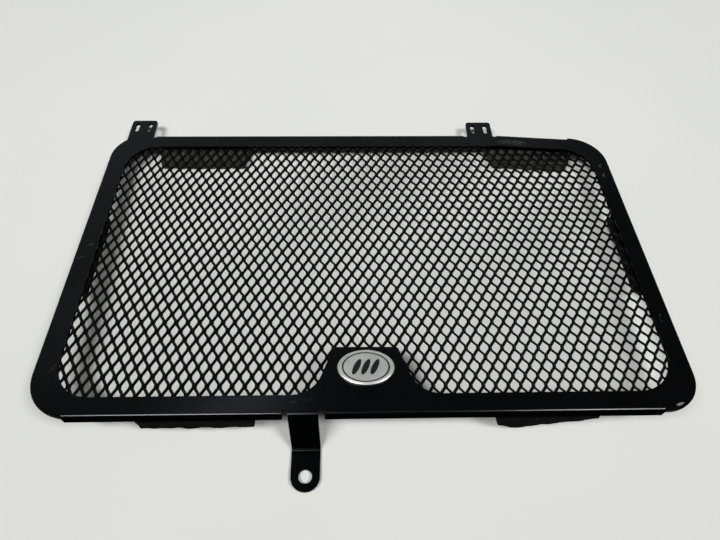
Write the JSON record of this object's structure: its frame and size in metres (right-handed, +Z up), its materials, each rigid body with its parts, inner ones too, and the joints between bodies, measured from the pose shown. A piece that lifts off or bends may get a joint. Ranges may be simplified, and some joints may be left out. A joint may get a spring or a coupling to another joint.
{
  "type": "motorcycle radiator guard",
  "caption": "Folded sheet-metal frame with an expanded-metal panel, fixing ears, a bent bolt tab and foam pads, which keeps stones off a motorcycle's radiator.",
  "frame": {"origin": "on the ground under the middle of the part's bounding box, as it lies at rest", "axes": "+X along the guard from the left ear to the right, +Y from the tab edge to the ear edge, +Z up, out of the guard's front face"},
  "size_m": [0.3164, 0.2321, 0.026],
  "materials": {
    "powder_coat": "satin black powder coat",
    "coated_mesh": "satin black coat on expanded metal",
    "foam": "matt open-cell foam",
    "badge": "silver print under a clear dome"
  },
  "bodies": {
    "root": {"guard_frame": "powder_coat", "mesh_panel": "coated_mesh", "badge": "badge", "top_left_pad": "foam", "top_right_pad": "foam", "left_side_pad": "foam", "right_side_pad": "foam", "bottom_left_pad": "foam", "bottom_right_pad": "foam"}
  },
  "joints": []
}
